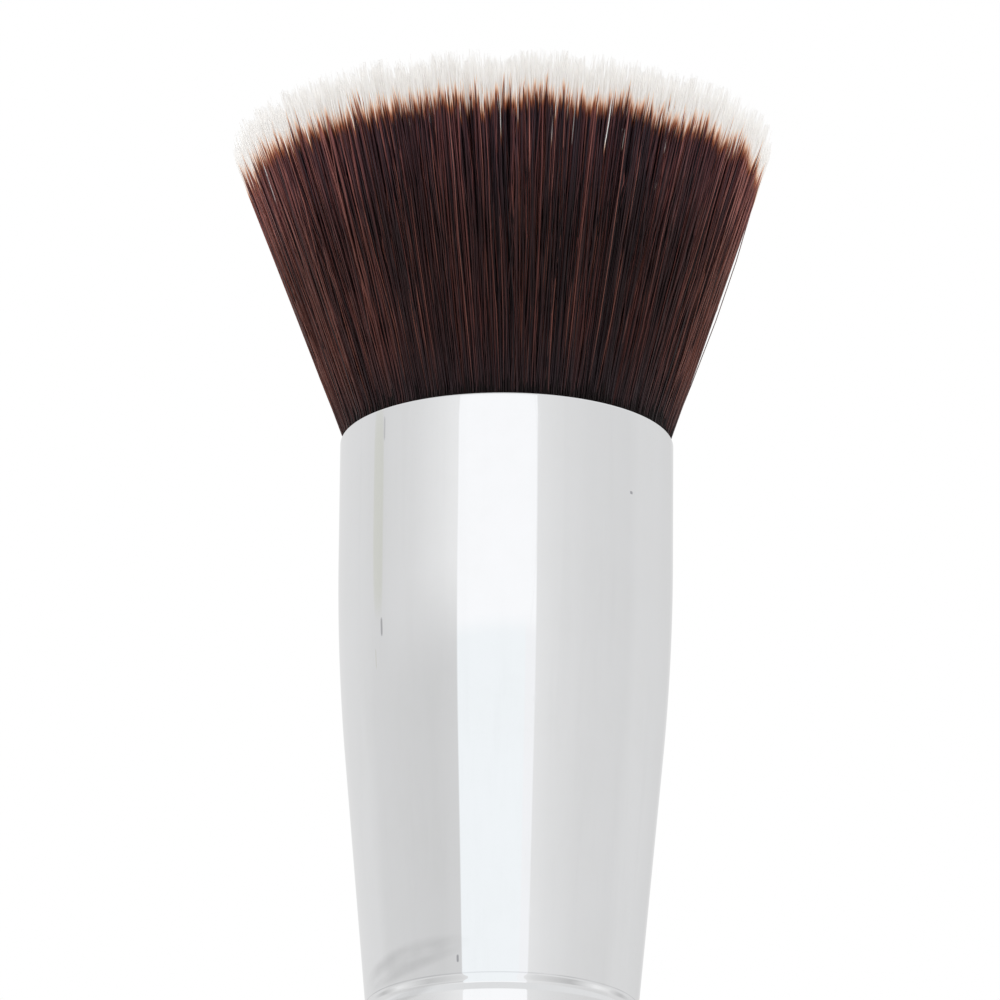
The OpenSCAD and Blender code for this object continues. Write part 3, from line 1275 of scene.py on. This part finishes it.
        # Painted light at the head's sides, for the light that shines through the fibres there.
        painted_side_light = np.where(side < 0, self.left_painted_light * side**2, self.right_painted_light * side**6)
        by_wisp, by_clump = self.tuft_tones
        own = self.mean_tone + painted_side_light + self.tone_spread * rng.standard_normal(n)
        own = own + by_wisp * drawn[:, 0, 0] + by_clump * drawn[:, 1, 1]
        bright = rng.random(n) < self.bright_share
        return np.where(bright, rng.uniform(*self.bright_tones, n), own).clip(*self.tone_ends)

    def settled(self, rng: Random) -> Strands:
        """Settles each strand's root, length, dye, tone and thickness.

        The head is cut along a sloping plane, and each strand falls short of it by random numbers of its
        own, its wisp's and its clump's. The dye ends a drop below the plane. The drop grows evenly away
        from the wisp's middle, and varies in the same three ways. A few strands have a much deeper drop,
        and a few a smaller one.

        Args:
            rng: The source of random numbers.

        Returns:
            The strands.
        """
        n = self.count
        roots = self.roots(rng)
        found = [self.gathered(roots, tuft.cell, rng) for tuft in (self.wisp, self.clump)]
        middles, drawn = (np.stack(part, 1) for part in zip(*found))
        own = rng.standard_normal((n, 2))
        plane = self.tip_z + self.cut_slope * roots[:, 0] * (1 + self.spread * (self.tip_z - self.mouth_z))
        uneven = (own[:, 0], drawn[:, 0, 3], drawn[:, 1, 3])
        short = sum(size * part for size, part in zip(self.ragged, uneven)).clip(*self.ragged_ends)
        off = np.linalg.norm(roots - middles[:, 0], axis=1) / (self.wisp.cell / 2)
        drop = self.dye_drop + self.dye_cone * off.clip(*self.cone_ends)
        uneven = (own[:, 1], drawn[:, 0, 1], drawn[:, 1, 2])
        drop += sum(size * part for size, part in zip(self.dye_ragged, uneven))
        deep = rng.random(n) < self.deep_share
        drop += np.where(deep, rng.exponential(self.deep_mean, n) + self.deep_least, 0)
        drop -= np.where(rng.random(n) < self.high_share, rng.uniform(*self.high_rise, n), 0)
        at_edge = np.linalg.norm(roots, axis=1) > self.stray_from * self.edge_r
        stray = at_edge & (rng.random(n) < self.stray_share)
        tone = np.where(stray, self.stray_tone, self.tones(roots, drawn, rng))
        size = self.strand_r * rng.uniform(*self.strand_sizes, n)
        size = size * np.where(deep, self.deep_size, 1) * np.where(stray, self.stray_size, 1)
        roll = rng.uniform(0, 2 * np.pi, n)
        dye_z = plane - drop.clip(*self.dye_ends)
        return Strands(roots, middles, drawn, plane - self.mouth_z - short, dye_z, stray, tone, size, roll)

    def lines(self, strands: Strands, above: Array, rng: Random) -> Array:
        """Middle lines of strands, seen from above.

        A strand follows its spreading line. Its wisp draws it in close to the tip, and its clump all the
        way up. To this come its own slope and one long wave. It is then held inside the head's ragged edge,
        a stray bows away from it, and the whole head leans by a power of the way up.

        Args:
            strands: The strands.
            above: Heights above the mouth, n by m.
            rng: The source of random numbers.

        Returns:
            Places at those heights, n by m by 2.
        """
        n = len(strands.roots)
        way = np.clip(above / strands.length[:, None], 0, 1)
        share = way[..., None]
        rise = np.clip(above, 0, None)
        height = rise[..., None]
        at = self.opened(strands.roots, above)
        for number, tuft in enumerate((self.wisp, self.clump)):
            lean = strands.drawn[:, None, number, 2:]
            centre = self.opened(strands.middles[:, number], above) + tuft.slope * lean * height
            at = at + (tuft.even * share + tuft.late * share**tuft.power) * (centre - at)
        wild = np.where(rng.random(n) < self.wild_share, *self.wild_slopes)
        wild = wild * np.where(rng.random(n) < self.held_share, self.held_slope, 1)
        tilt = rng.standard_normal((n, 2)) * (self.slope * wild)[:, None]
        at = at + tilt[:, None] * height * (1 - self.tip_hold * share)
        wave = rng.standard_normal((n, 2)) * self.wave
        turns = rng.uniform(*self.wave_turns, n)[:, None] * way + rng.random(n)[:, None]
        calm = np.minimum(1, height / self.wave_from) * (1 - self.wave_calm * share**6)
        at = at + wave[:, None] * np.sin(2 * np.pi * turns)[..., None] * calm
        limit = self.edge_r * (1 + self.spread * (rise + self.bend_at))
        limit = limit - rng.uniform(0, self.edge_ragged, n)[:, None] * way
        far = np.maximum(np.linalg.norm(at, axis=2), TINY)
        at = at * np.minimum(1, limit / far)[..., None]
        bow = np.where(strands.stray, rng.uniform(*self.stray_bow, n), 0)[:, None]
        bow = bow * np.sin(np.pi * way ** rng.uniform(*self.stray_bend, n)[:, None])
        at = at * (1 + bow / far)[..., None]
        at[..., 0] += self.lean * way**self.lean_power
        return at

    def sector_mesh(self, name: str, strands: Strands, at: Array, above: Array,
                    fibre: DipDyedFibre) -> Mesh:
        """Makes three-sided tubes along middle lines, closed at both ends.

        A corner lies at its ring's middle plus the ring's radius times (cos a, sin a), where a takes three
        even steps from the strand's own roll. The radius falls with the square root of the way left along
        the strand's point.

        Args:
            name: Name of the mesh.
            strands: The strands.
            at: Middle lines seen from above, n by m by 2.
            above: Heights of the rings above the mouth, n by m.
            fibre: The finish whose map they carry.

        Returns:
            The mesh, with the strands' map.
        """
        n, m = above.shape
        height = self.mouth_z + above
        left = np.clip((strands.length[:, None] - above) / self.point_len, 0, 1)
        thick = strands.size[:, None] * (self.tip_share + (1 - self.tip_share) * np.sqrt(left))
        turn = strands.roll[:, None] + even_turns(3)
        ring = np.stack([np.cos(turn), np.sin(turn)], 2)[:, None]
        flat = at[:, :, None] + thick[:, :, None, None] * ring
        tall = np.broadcast_to(height[:, :, None, None], (n, m, 3, 1))
        points = np.concatenate([flat, tall], 3).reshape(-1, 3)
        row = np.repeat(np.arange(m - 1), 3)
        side = np.tile(np.arange(3), m - 1)
        rings = np.stack([row, row, row + 1, row + 1], 1)
        sides = np.stack([side, side + 1, side + 1, side], 1)
        first = (np.arange(n) * 3 * m)[:, None, None]
        quads = (first + 3 * rings + sides % 3).reshape(-1, 4)
        caps = np.array([[0, 2, 1], [3 * m - 3, 3 * m - 2, 3 * m - 1]])
        mesh = write_mesh(name, points, quads, (first + caps).reshape(-1, 3))
        along = fibre.line + (height - strands.dye_z[:, None]) / (fibre.span * MM)
        self.write_map(mesh, strands.tone, along, rings, sides)
        return mesh

    def write_map(self, mesh: Mesh, tone: Array, along: Array, rings: Array,
                  sides: Array) -> None:
        """Writes the strands' map: a narrow band across it for each tone, and the place along the strand.

        Args:
            mesh: The mesh.
            tone: Tones, n.
            along: Places of the rings along their strands, n by m.
            rings: The ring of each corner of one strand's four-sided faces, k by 4.
            sides: The side of each of those corners, k by 4.
        """
        width = self.map_width
        last = along.shape[1] - 1
        u = (tone * (1 - width) + width / 2)[:, None, None]
        cap_u = u + np.array(self.cap_across) * width
        cap_v = along[:, [[0, 0, 0], [last, last, last]]] + np.array(self.cap_along)
        pairs = ((u + (sides / 3 - 0.5) * width, along[:, rings]), (cap_u, cap_v))
        flat_map = np.concatenate([np.stack(np.broadcast_arrays(*pair), 3).reshape(-1) for pair in pairs])
        mesh.uv_layers.new(name=STRAND_MAP).uv.foreach_set("vector", flat_map.astype(np.float32))

    def glue_outline(self) -> Outline:
        """Radii and heights of the slice of glue, whose edges are bevelled.

        Returns:
            The radii and the heights.
        """
        base, top, bevel = self.glue_z - self.glue_thick, self.glue_z, self.glue_bevel
        radii = np.array([0, self.glue_r - bevel, self.glue_r, self.glue_r, self.glue_r - bevel, 0])
        return radii, np.array([base, base, base + bevel, top - bevel, top, top])

    def build(self) -> None:
        """Makes the strands, sector by sector and in two depths, and the glue that they stand in."""
        rng = np.random.default_rng(self.seed)
        fibre = DipDyedFibre()
        strands = self.settled(rng)
        inside = np.linalg.norm(strands.roots, axis=1) < self.outer_from
        for depth in Depth:
            shape: StrandShape = depth.value
            some = strands.picked(inside if depth is Depth.INNER else ~inside)
            span = some.length[:, None]
            sunk = np.full_like(span, self.glue_z - self.sunk - self.mouth_z)
            bend = np.full_like(span, self.bend_ring)
            above = np.concatenate([sunk, bend, span * shape.heights, span - shape.points], 1)
            at = self.lines(some, above, rng)
            circle = np.arctan2(some.roots[:, 1], some.roots[:, 0]) / (2 * np.pi) % 1
            sector = np.floor(circle * shape.sectors)
            for number in range(shape.sectors):
                these = sector == number
                name = f"bristles_{depth.name.lower()}_{number + 1}"
                mesh = self.sector_mesh(name, some.picked(these), at[these], above[these], fibre)
                add_piece(mesh, fibre.material(), Slot.FIBRE, "bristles")
        mesh = turned("bristles_glue_slice", self.glue_outline(), self.glue_around)
        add_piece(mesh, SetGlue().material(), Slot.GLUE, "bristles")


@dataclass
class Binding:
    """What holds the roots: a winding of thread, the glue round the roots and the glue on the tenon."""

    turns: int = 11
    layers: int = 3
    per_turn: int = 40
    sides: int = 8
    roots_r: float = 9.02 * MM
    step_from: float = 0.96
    thread_share: float = 0.485

    def build(self) -> None:
        """Winds the thread and dresses the glue.

        The thread climbs and falls by turns, layer by layer, and steps out at the end of each layer.
        """
        low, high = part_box("root_thread")
        thick = (high.x - self.roots_r) / self.layers
        rise = high.z - low.z - thick
        way = np.linspace(0, self.layers, self.layers * self.turns * self.per_turn + 1)
        climb = 1 - np.abs(way % 2 - 1)
        step = np.clip((way % 1 - self.step_from) / (1 - self.step_from), 0, 1) * (way < self.layers - 0.5)
        out = self.roots_r + thick * (0.5 + np.minimum(np.floor(way), self.layers - 1) + step)
        turn = 2 * np.pi * self.turns * way
        path = np.stack([out * np.cos(turn), out * np.sin(turn), low.z + thick / 2 + rise * climb], 1)
        mesh = swept("root_winding", path, thick * self.thread_share, self.sides)
        add_piece(mesh, SpunThread().material(), Slot.THREAD, "root_thread")
        dress_node("glue_plug", SetGlue().material())
        tenon_glue = SetGlue(name="tenon glue", colour=(0.72, 0.64, 0.42), ends_cover=0.0)
        dress_node("tenon_adhesive", tenon_glue.material())


@dataclass
class Handle:
    """The turned handle, its weight and its cap."""

    around: int = 160
    swell_r: float = 11.2 * MM
    swell_z: float = 9.0 * MM
    neck_r: float = 8.8 * MM
    neck_z: float = 33.0 * MM
    foot_r: float = 9.4 * MM
    foot_round: float = 0.25 * MM
    foot_lift: float = 0.4
    shoulder_r: float = 9.6 * MM
    shoulder_round: float = 0.2 * MM
    tenon_r: float = 9.08 * MM
    tenon_bevel: float = 0.8 * MM
    tenon_glue: float = 0.12 * MM
    cap_hole_r: float = 8.05 * MM
    cap_hole_top: float = 2.1 * MM
    weight_hole_r: float = 6.45 * MM
    weight_hole_top: float = 26.3 * MM
    cap_round: float = 0.25 * MM
    dish_from: float = 1.0 * MM
    dish_margin: float = 1.6 * MM
    dish_depth: float = 0.22 * MM
    pip: tuple[tuple[float, float], ...] = ((0.0, 0.14), (0.7, 0.14), (0.95, 0.17), (1.0, 0.22))

    def body_outline(self, ferrule: Ferrule) -> Outline:
        """Radii and heights of the wood, from the bore's blind end, down it, up the outside and to the top.

        The foot goes into a quarter ellipse up to the widest place. Half waves lead from there to the neck
        and from the neck to the shoulder. The tenon follows the ferrule's crimps.

        Args:
            ferrule: The tube that the tenon stands in.

        Returns:
            The radii and the heights.
        """
        lift = self.foot_round * self.foot_lift
        under = ferrule.mouth_z - ferrule.length
        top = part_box("handle")[1].z
        ramp = quarter_turn(5)
        foot_r = self.foot_r - self.foot_round + self.foot_round * np.sin(ramp)
        foot_z = lift * (1 - np.cos(ramp))
        quarter = quarter_turn(34)
        swell_r = self.foot_r + (self.swell_r - self.foot_r) * np.sin(quarter)
        swell_z = self.swell_z * (1 - np.cos(quarter))
        keep = swell_z > lift
        share = np.linspace(0, 1, 50)[1:]
        wave = (1 - np.cos(np.pi * share)) / 2
        neck_r = self.swell_r + (self.neck_r - self.swell_r) * wave
        neck_z = self.swell_z + (self.neck_z - self.swell_z) * share
        rise_r = self.neck_r + (self.shoulder_r - self.neck_r) * wave
        rise_z = self.neck_z + (under - self.shoulder_round - self.neck_z) * share
        corner = quarter_turn(9)[1:]
        lip_r = self.shoulder_r + self.shoulder_round * (np.cos(corner) - 1)
        lip_z = under + self.shoulder_round * (np.sin(corner) - 1)
        depth = np.linspace(ferrule.length, ferrule.mouth_z - top + self.tenon_bevel, 90)
        tenon_r = np.minimum(self.tenon_r, ferrule.radius(depth) - ferrule.wall - self.tenon_glue)
        bore_r = [0, self.weight_hole_r, self.weight_hole_r, self.cap_hole_r, self.cap_hole_r]
        bore_z = [self.weight_hole_top, self.weight_hole_top, self.cap_hole_top, self.cap_hole_top, 0]
        radii = np.concatenate([bore_r, foot_r, swell_r[keep], neck_r, rise_r, lip_r, tenon_r,
                                [self.tenon_r - self.tenon_bevel, 0]])
        heights = np.concatenate([bore_z, foot_z, swell_z[keep], neck_z, rise_z, lip_z,
                                  ferrule.mouth_z - depth, [top, top]])
        return radii, heights

    def cap_outline(self) -> Outline:
        """Radii and heights of the cap, whose edges are rounded.

        Its underside has a shallow dish, a quarter of a sine wave deep, and a pip in the middle.

        Returns:
            The radii and the heights.
        """
        low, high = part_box("base_cap")
        edge = self.cap_round
        corner = quarter_turn(7)
        dish = np.linspace(0, 1, 12)
        dish_r = self.dish_from + (high.x - self.dish_from - self.dish_margin) * dish
        dish_z = low.z + self.dish_depth * np.sin(np.pi * np.clip(1 - dish, 0, 0.5))
        pip_r, pip_z = np.array(self.pip).T * MM
        rim_r, over, up = high.x - edge, edge * np.cos(corner), edge * np.sin(corner)
        radii = np.concatenate([pip_r, dish_r[1:], rim_r + up, rim_r + over, [0]])
        heights = np.concatenate([low.z + pip_z, dish_z[1:], low.z + edge * (1 - np.cos(corner)),
                                  high.z - edge + up, [high.z]])
        return radii, heights

    def build(self, ferrule: Ferrule) -> None:
        """Makes the wood, whose tenon stands in the ferrule, and the cap, and dresses the weight."""
        mesh = turned("handle_body", self.body_outline(ferrule), self.around)
        add_piece(mesh, Lacquer().material(), Slot.LACQUER, "handle")
        mesh = turned("base_cap_disc", self.cap_outline(), self.around)
        add_piece(mesh, MouldedPlastic().material(), Slot.PLASTIC, "base_cap")
        dress_node("base_weight", TurnedSteel().material())


@dataclass(frozen=True)
class Band:
    """Light levels of one band of the studio.

    Attributes:
        stops: Levels, up to 4, by direction round the axis from -Y, in degrees.
        fade: Where it takes over from the bands before it, from none to full, in degrees above the horizon.
    """

    stops: dict[float, float]
    fade: tuple[float, float] | None = None

    def levels(self, sheet: NodeSheet, turn: Socket) -> Socket:
        """The levels in all directions, on a ramp that holds a quarter of each, because it stops at 1."""
        place = sheet.maths("MULTIPLY_ADD", turn, 1 / 360, 0.5)
        quarter = sheet.ramp(place, {d / 360 + 0.5: v / 4 for d, v in self.stops.items()})
        return sheet.mixed(1.0, quarter, (4.0, 4.0, 4.0), Blend.MULTIPLY)


LEVEL = Band({
    -180: 0.86, -166: 0.775, -118: 0.76, -106: 0.71, -52: 0.672, -34: 0.70,
    21: 0.85, 34: 0.80, 60: 0.745, 94: 0.725, 104: 0.755, 128: 0.745, 158: 0.70, 180: 0.78,
})
ABOVE = Band({
    -180: 0.86, -166: 0.775, -118: 0.75, -96: 0.72, -64: 0.77, -34: 0.90,
    21: 0.84, 34: 0.795, 60: 0.74, 94: 0.72, 104: 0.745, 128: 0.735, 158: 0.70, 180: 0.80,
}, (9.0, 16.0))
BENEATH = Band({
    -180: 0.92, -162: 0.88, -150: 0.56, -122: 0.54, -106: 0.8, -60: 0.74, -34: 0.8,
    21: 0.86, 60: 0.76, 106: 0.8, 122: 0.54, 150: 0.56, 162: 0.88, 180: 0.92,
}, (-6.0, -17.0))
DEEP = Band({
    -180: 0.95, -166: 0.9, -152: 0.36, -120: 0.32, -104: 0.9, -70: 0.6, -40: 0.74, -34: 0.8,
    21: 0.86, 30: 0.76, 66: 0.56, 92: 0.92, 106: 0.85, 120: 0.34, 150: 0.34, 166: 0.9, 180: 0.95,
}, (-18.0, -24.0))
DOME = Band({
    -180: 1.3, -120: 1.5, -75: 1.35, -42: 1.05, 0: 0.8, 42: 0.95, 75: 1.25, 120: 1.5, 180: 1.3,
})


@dataclass
class Studio:
    """Plain pale floor, soft light all round with one wide panel in front, and the camera."""

    frame_px: float = 1000.0
    focal_px: float = 9019.0
    sensor: float = 36.0
    distance: float = 650.0 * MM
    drop_deg: float = 18.5
    aim_px: tuple[float, float] = (6.3, 55.2)
    roll_deg: float = 0.5
    clip: tuple[float, float] = (0.05, 20.0)
    panel: tuple[float, float] = (-33.3, 21.2)
    panel_edge: float = 0.5
    panel_split: tuple[float, float] = (13.0, 15.0)
    panel_left: Colour = (0.968, 1.0, 1.018)
    panel_right: Colour = (0.975, 0.98, 0.995)
    panel_high: Colour = (1.046, 1.05, 1.062)
    panel_step: tuple[float, float] = (10.7, 12.3)
    sky_from: tuple[float, float] = (24.0, 34.0)
    sky: Colour = (0.80, 0.805, 0.81)
    dome_from: tuple[float, float] = (0.3, 0.9)
    dome_top: Colour = (1.1, 1.1, 1.1)
    floor_r: float = 0.8
    floor_fade: tuple[float, float] = (0.12, 0.72)
    floor_colour: Colour = (0.58, 0.58, 0.585)
    floor_around: int = 96

    def surroundings(self, sheet: NodeSheet, turn: Socket, rise: Socket) -> Socket:
        """What the polished metal mirrors: bands of light, with the panel over them, under a plain sky.

        Args:
            sheet: The world's sheet.
            turn: Direction round the axis from -Y, in degrees.
            rise: Direction above the horizon, in degrees.

        Returns:
            The light's colour.
        """
        around = LEVEL.levels(sheet, turn)
        for band in (ABOVE, BENEATH, DEEP):
            around = sheet.mixed(sheet.step(rise, *band.fade), around, band.levels(sheet, turn))
        bright = sheet.mixed(sheet.step(turn, *self.panel_split), self.panel_left, self.panel_right)
        bright = sheet.mixed(sheet.step(rise, *self.panel_step), bright, self.panel_high)
        left, right = self.panel
        soft = self.panel_edge
        inside = sheet.maths("MULTIPLY", sheet.step(turn, left - soft, left + soft),
                             sheet.step(turn, right + soft, right - soft))
        return sheet.mixed(sheet.step(rise, *self.sky_from), sheet.mixed(inside, around, bright), self.sky)

    def light(self) -> None:
        """Makes the world: white behind the brush, surroundings in mirrors, and a soft dome elsewhere."""
        world = bpy.data.worlds.new("studio")
        bpy.context.scene.world = world
        sheet = NodeSheet.emptied(world)
        place = sheet.add("ShaderNodeTexCoord").outputs["Generated"]
        x, y, z = sheet.add("ShaderNodeSeparateXYZ", place).outputs
        turn = sheet.maths("DEGREES", sheet.maths("ARCTAN2", x, sheet.maths("MULTIPLY", y, -1.0)))
        rise = sheet.maths("DEGREES", sheet.maths("ARCSINE", z))
        dome = sheet.mixed(sheet.step(z, *self.dome_from), DOME.levels(sheet, turn), self.dome_top)
        path = sheet.add("ShaderNodeLightPath")
        colour = sheet.mixed(path.outputs["Is Glossy Ray"], dome, self.surroundings(sheet, turn, rise))
        colour = sheet.mixed(path.outputs["Is Camera Ray"], colour, (1.0, 1.0, 1.0))
        sheet.add("ShaderNodeOutputWorld", sheet.add("ShaderNodeBackground", colour).outputs[0])

    def floor(self) -> None:
        """Makes a pale disc that fades into the white, and isn't there from below or in mirrors."""
        material = bpy.data.materials.new("pale floor")
        sheet = NodeSheet.emptied(material)
        shader = sheet.add("ShaderNodeBsdfPrincipled")
        sheet.wire(shader, Base_Color=self.floor_colour, Roughness=0.6)
        away = sheet.add("ShaderNodeVectorMath", sheet.own_place(), operation="LENGTH").outputs["Value"]
        below = sheet.add("ShaderNodeNewGeometry").outputs["Backfacing"]
        mirrored = sheet.add("ShaderNodeLightPath").outputs["Is Glossy Ray"]
        unseen = sheet.maths("MAXIMUM", below, mirrored)
        gone = sheet.maths("MAXIMUM", sheet.step(away, *self.floor_fade), unseen)
        clear = sheet.add("ShaderNodeBsdfTransparent").outputs[0]
        mix = sheet.add("ShaderNodeMixShader", gone, shader.outputs[0], clear)
        sheet.add("ShaderNodeOutputMaterial", mix.outputs[0])
        turn = even_turns(self.floor_around)
        rim = np.stack([self.floor_r * np.cos(turn), self.floor_r * np.sin(turn), np.zeros_like(turn)], 1)
        triangles = fan(self.floor_around, np.arange(self.floor_around))
        mesh = write_mesh("floor", np.concatenate([rim, [[0, 0, 0]]]), np.zeros((0, 4), int), triangles)
        add_object(mesh, material)

    def camera(self, mouth_z: float) -> None:
        """Places the camera below the brush's mouth, looking up at it.

        Args:
            mouth_z: Height of the ferrule's mouth.
        """
        drop = math.radians(self.drop_deg)
        towards = Vector((0, math.cos(drop), math.sin(drop)))
        right = Vector((1, 0, 0))
        up = right.cross(towards)
        across, over = (px / self.focal_px for px in self.aim_px)
        axis = (towards - right * across - up * over).normalized()
        up = (up - axis * up.dot(axis)).normalized()
        right = axis.cross(up)
        roll = math.radians(self.roll_deg)
        up = up * math.cos(roll) - right * math.sin(roll)
        turned_by = Matrix((axis.cross(up), up, -axis)).transposed().to_4x4()
        data = bpy.data.cameras.new("camera")
        data.sensor_width = self.sensor
        data.lens = self.focal_px * self.sensor / self.frame_px
        data.clip_start, data.clip_end = self.clip
        made = bpy.data.objects.new("camera", data)
        place = Vector((0, 0, mouth_z)) - towards * self.distance
        made.matrix_world = Matrix.Translation(place) @ turned_by
        bpy.context.scene.collection.objects.link(made)
        bpy.context.scene.camera = made

    def build(self, mouth_z: float) -> None:
        """Sets up light, floor and camera.

        Args:
            mouth_z: Height of the ferrule's mouth.
        """
        view = bpy.context.scene.view_settings
        view.view_transform = "Standard"
        view.look = "None"
        self.light()
        self.floor()
        self.camera(mouth_z)


def main() -> None:
    """Builds the brush's sub-assemblies in order, then the studio."""
    logging.basicConfig(level=logging.INFO, format="%(name)s: %(message)s")
    ferrule = Ferrule()
    ferrule.build()
    BristleHead().build()
    Binding().build()
    Handle().build(ferrule)
    Studio().build(ferrule.mouth_z)


if __name__ == "__main__":
    main()
